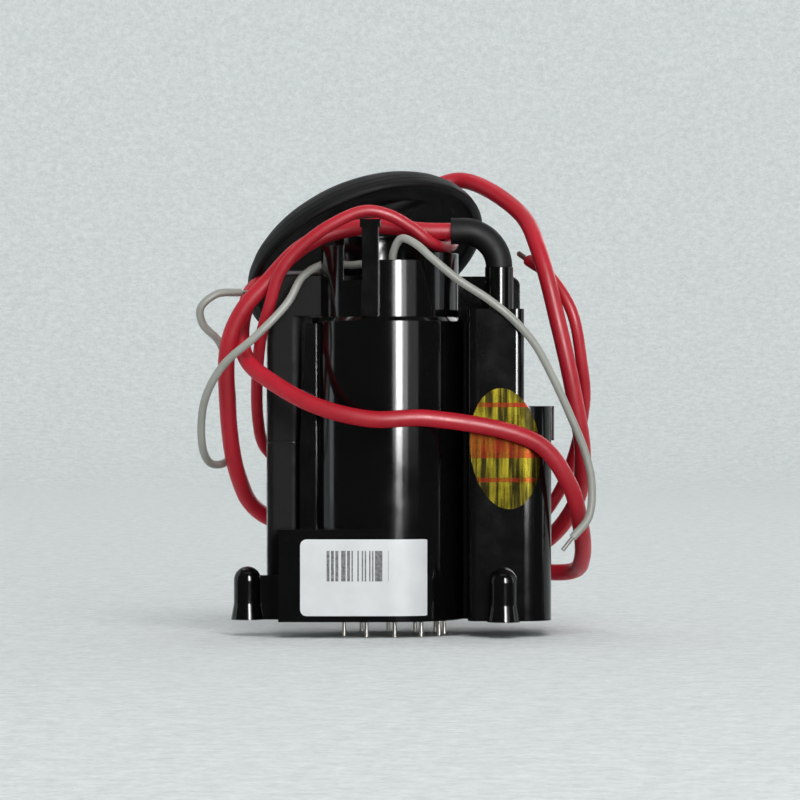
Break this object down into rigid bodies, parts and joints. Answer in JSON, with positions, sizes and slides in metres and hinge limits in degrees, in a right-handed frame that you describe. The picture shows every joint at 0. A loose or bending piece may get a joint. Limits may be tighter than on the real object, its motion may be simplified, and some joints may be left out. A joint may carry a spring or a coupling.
{
  "type": "flyback transformer",
  "caption": "Potted flyback transformer with a ferrite core, screw posts, terminal pins, a focus unit with turning adjusters, and a wound high-voltage lead that ends in a rubber anode cap.",
  "frame": {"origin": "on the board's face, at the coil axis, which is the centre of the pin circle", "axes": "+Z away from the board along the coil axis, -Y to the labelled front, +X to the rectifier block"},
  "size_m": [0.0991, 0.0805, 0.1172],
  "materials": {
    "case_plastic": "glossy moulded",
    "resin": "cast, slightly glossy",
    "bobbin_plastic": "moulded",
    "copper_wire": "enamelled wire",
    "film_capacitor": "dipped",
    "ferrite": "ground, slightly matte",
    "shim_film": "thin film",
    "spring_steel": "plain wire",
    "tinned_wire": "tinned",
    "ceramic_board": "fired, unglazed",
    "resistor_ink": "printed",
    "knob_plastic": "moulded",
    "brass_contact": "stamped",
    "black_rubber": "matte, dusty",
    "red_insulation": "satin sheath",
    "grey_insulation": "satin sheath",
    "label_paper": "coated paper",
    "gold_foil": "printed metal foil"
  },
  "bodies": {
    "transformer": {"coil_case": "case_plastic", "case_potting": "resin", "primary_bobbin": "bobbin_plastic", "primary_winding": "copper_wire", "secondary_bobbin": "bobbin_plastic", "secondary_winding": "copper_wire", "rectifier_diodes": "resin", "smoothing_capacitor": "film_capacitor", "core_upper": "ferrite", "core_lower": "ferrite", "core_shims": "shim_film", "core_clip": "spring_steel", "terminal_pins": "tinned_wire", "focus_case": "case_plastic", "focus_cover": "case_plastic", "focus_board": "ceramic_board", "resistor_tracks": "resistor_ink", "focus_bush": "black_rubber", "hv_sleeve": "black_rubber", "hv_contact": "brass_contact", "hv_lead": "red_insulation", "anode_cap": "black_rubber", "anode_clip": "spring_steel", "focus_lead": "red_insulation", "lead_bush": "black_rubber", "screen_lead": "grey_insulation", "earth_lead": "grey_insulation", "lead_tips": "tinned_wire", "white_label": "label_paper", "foil_seal": "gold_foil"},
    "focus_knob": {"focus_knob": "knob_plastic", "focus_wiper": "brass_contact"},
    "screen_knob": {"screen_knob": "knob_plastic", "screen_wiper": "brass_contact"}
  },
  "joints": [
    {"name": "focus_turn", "type": "hinge", "parent": "transformer", "child": "focus_knob", "pos_m": [0.01875, 0.038, 0.07], "axis": [0, 1, 0], "range_deg": [-135, 135]},
    {"name": "screen_turn", "type": "hinge", "parent": "transformer", "child": "screen_knob", "pos_m": [0.01875, 0.038, 0.04], "axis": [0, 1, 0], "range_deg": [-135, 135]}
  ]
}
